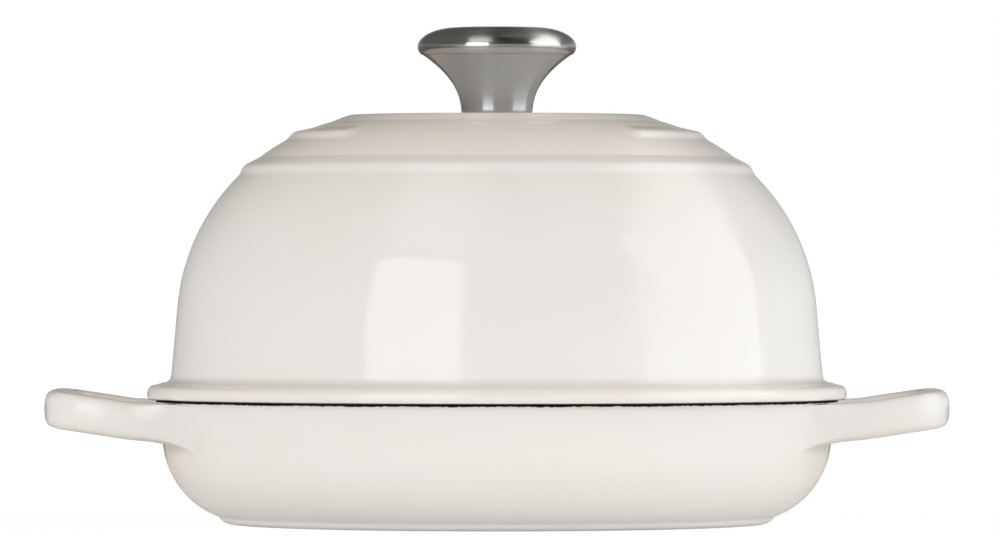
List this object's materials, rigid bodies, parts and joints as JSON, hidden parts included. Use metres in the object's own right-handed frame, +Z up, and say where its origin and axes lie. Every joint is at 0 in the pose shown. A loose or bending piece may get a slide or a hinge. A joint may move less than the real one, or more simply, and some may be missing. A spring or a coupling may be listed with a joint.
{
  "type": "bread oven",
  "caption": "Enamelled cast iron bread oven: a shallow round pan with loop handles, a domed lid with a stepped crown and a flared steel knob.",
  "frame": {"origin": "centre of the foot's flat underside, on the surface the pan stands on", "axes": "+Z up through the knob, X through the two loop handles, the crown's bare field faces -Y"},
  "size_m": [0.3256, 0.2524, 0.1795],
  "materials": {
    "pan_enamel": "glossy cream enamel outside, matte black enamel inside",
    "lid_enamel": "glossy cream enamel outside, matte black enamel inside",
    "satin_steel": "satin stainless steel",
    "polished_steel": "mirror-polished stainless steel",
    "insert_steel": "plain turned steel",
    "screw_steel": "bright plated steel",
    "washer_steel": "bright plated steel"
  },
  "bodies": {
    "base": {"base": "pan_enamel"},
    "lid": {"lid": "lid_enamel", "knob_body": "satin_steel", "knob_cap": "polished_steel", "knob_insert": "insert_steel", "knob_screw": "screw_steel", "screw_washer": "washer_steel"}
  },
  "joints": [
    {"name": "lid_lift", "type": "slide", "parent": "base", "child": "lid", "axis": [0, 0, 1], "range_m": [0, 0.2]}
  ]
}
